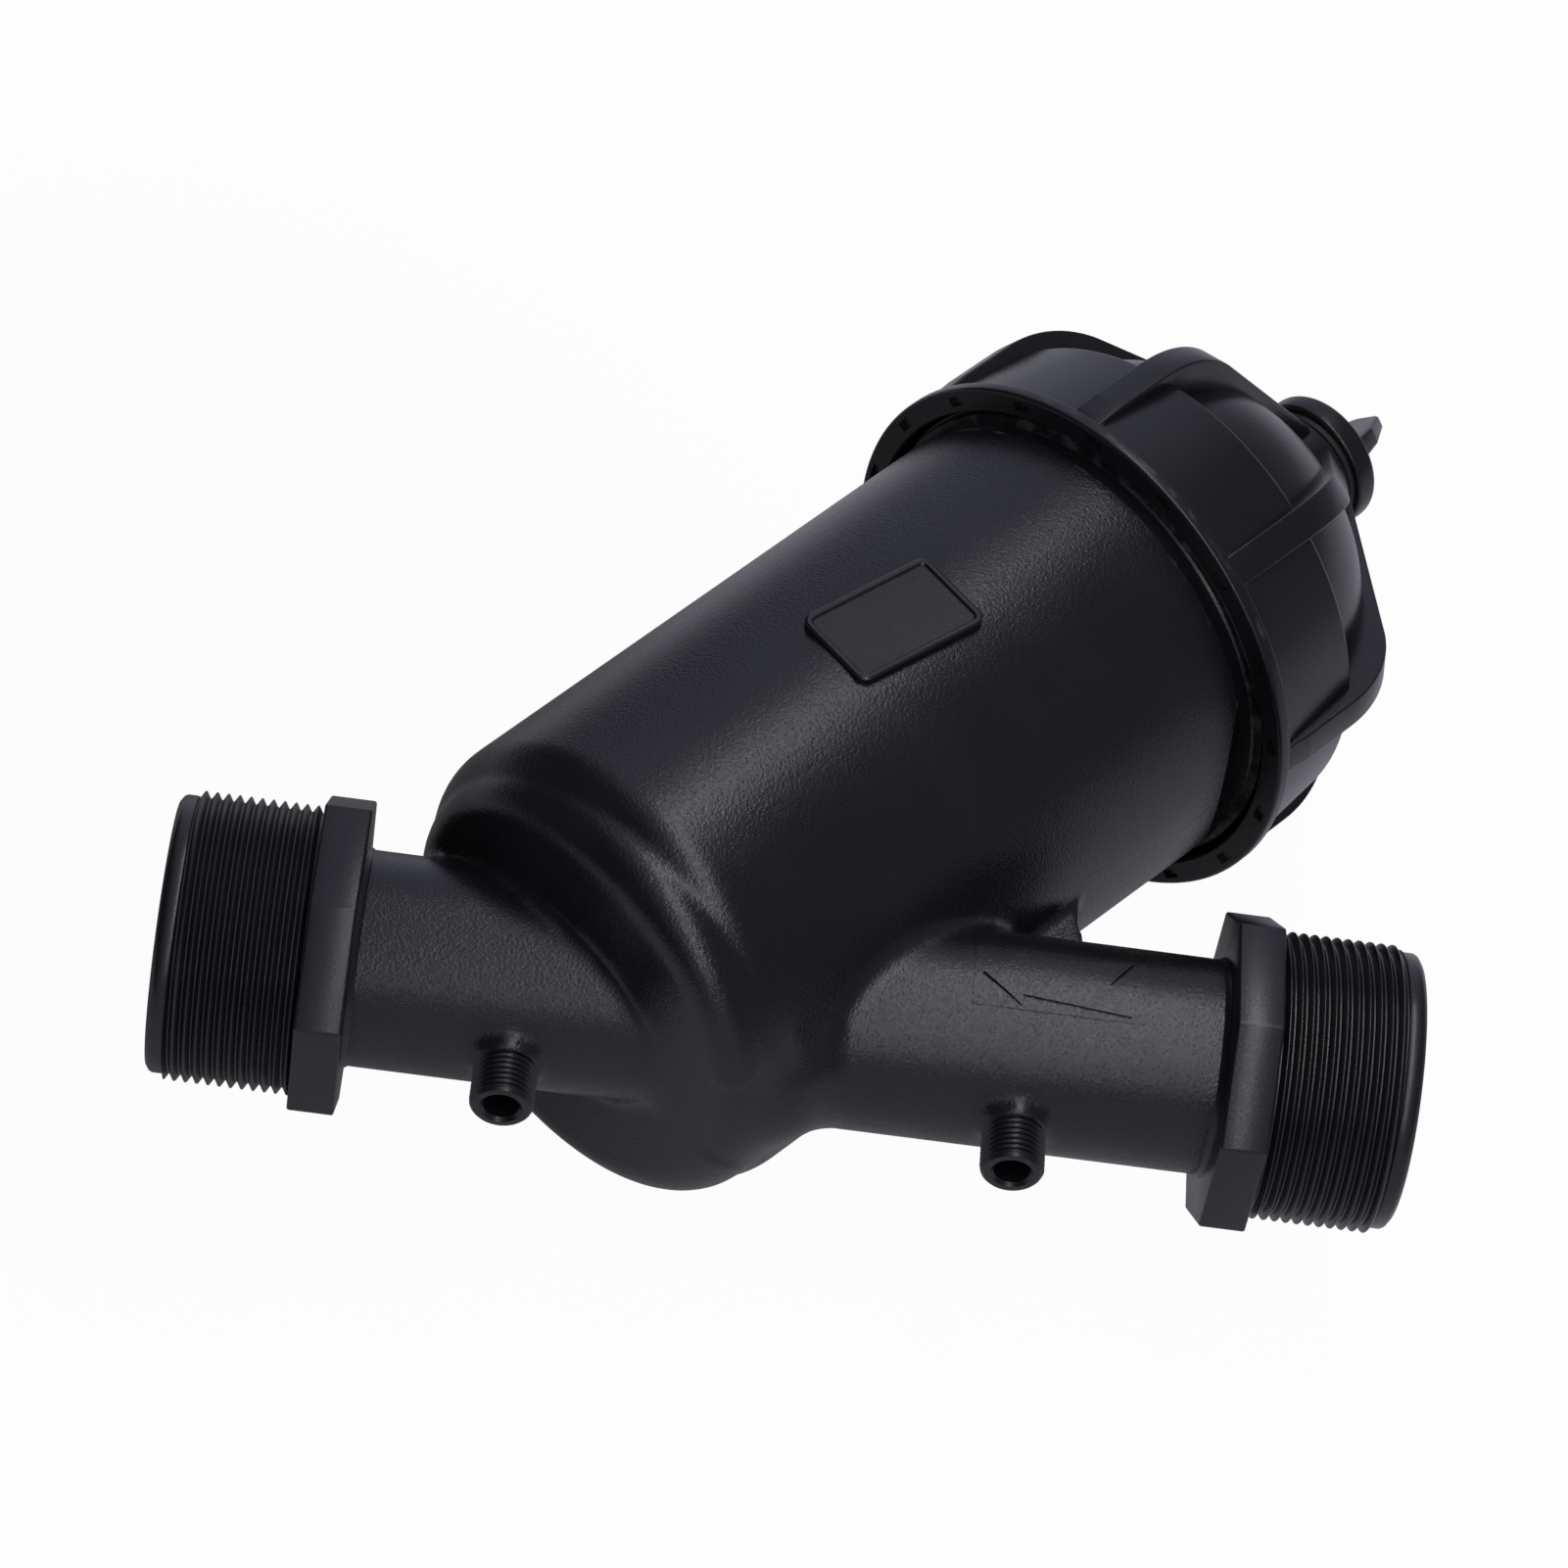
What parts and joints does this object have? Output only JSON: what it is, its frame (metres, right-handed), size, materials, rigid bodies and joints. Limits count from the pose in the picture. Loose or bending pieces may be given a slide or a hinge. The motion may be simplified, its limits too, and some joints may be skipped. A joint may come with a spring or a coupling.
{
  "type": "irrigation disc filter",
  "caption": "Y-shaped plastic disc filter for irrigation lines: threaded pipe run, slanted chamber with a ribbed screw cap and drain plug, and a disc cartridge inside.",
  "frame": {"origin": "on the pipe axis, where the inlet thread meets its octagon flange", "axes": "+X along the pipe run, out of the inlet; +Y to the side that the chamber leans to; +Z square to the plane of the fork, through the flow arrow"},
  "size_m": [0.256, 0.2315, 0.1232],
  "materials": {
    "housing_plastic": "fine spark-eroded grain, black",
    "cap_plastic": "smooth satin, black",
    "seal_rubber": "black rubber",
    "disc_plastic": "grooved, red",
    "spine_plastic": "smooth, black"
  },
  "bodies": {
    "filter_body": {"housing": "housing_plastic", "cartridge_spine": "spine_plastic", "seat_o_ring": "seal_rubber", "pressure_plate": "spine_plastic", "clamp_nut": "spine_plastic", "disc_pack_01": "disc_plastic", "disc_pack_02": "disc_plastic", "disc_pack_03": "disc_plastic", "disc_pack_04": "disc_plastic", "disc_pack_05": "disc_plastic", "disc_pack_06": "disc_plastic", "disc_pack_07": "disc_plastic", "disc_pack_08": "disc_plastic", "disc_pack_09": "disc_plastic", "disc_pack_10": "disc_plastic", "disc_pack_11": "disc_plastic", "disc_pack_12": "disc_plastic"},
    "cap_seal": {"cap_o_ring": "seal_rubber"},
    "cap": {"screw_cap": "cap_plastic"},
    "plug_seal": {"drain_seal": "seal_rubber"},
    "plug": {"drain_plug": "cap_plastic"}
  },
  "joints": [
    {"name": "cap_lift", "type": "slide", "parent": "filter_body", "child": "cap_seal", "axis": [0.6428, 0.766, 0], "range_m": [0, 0.0151]},
    {"name": "cap_turn", "type": "hinge", "parent": "cap_seal", "child": "cap", "pos_m": [-0.04457, 0.11445, 0], "axis": [0.6428, 0.766, 0], "range_deg": [0, 900]},
    {"name": "plug_lift", "type": "slide", "parent": "cap", "child": "plug_seal", "axis": [0.6428, 0.766, 0], "range_m": [0, 0.0061]},
    {"name": "plug_turn", "type": "hinge", "parent": "plug_seal", "child": "plug", "pos_m": [-0.04457, 0.11445, 0], "axis": [0.6428, 0.766, 0], "range_deg": [0, 1080]}
  ],
  "couplings": [
    {"joint": "cap_lift", "follows": "cap_turn", "m_per_rad": 0.00095493},
    {"joint": "plug_lift", "follows": "plug_turn", "m_per_rad": 0.00031831}
  ]
}
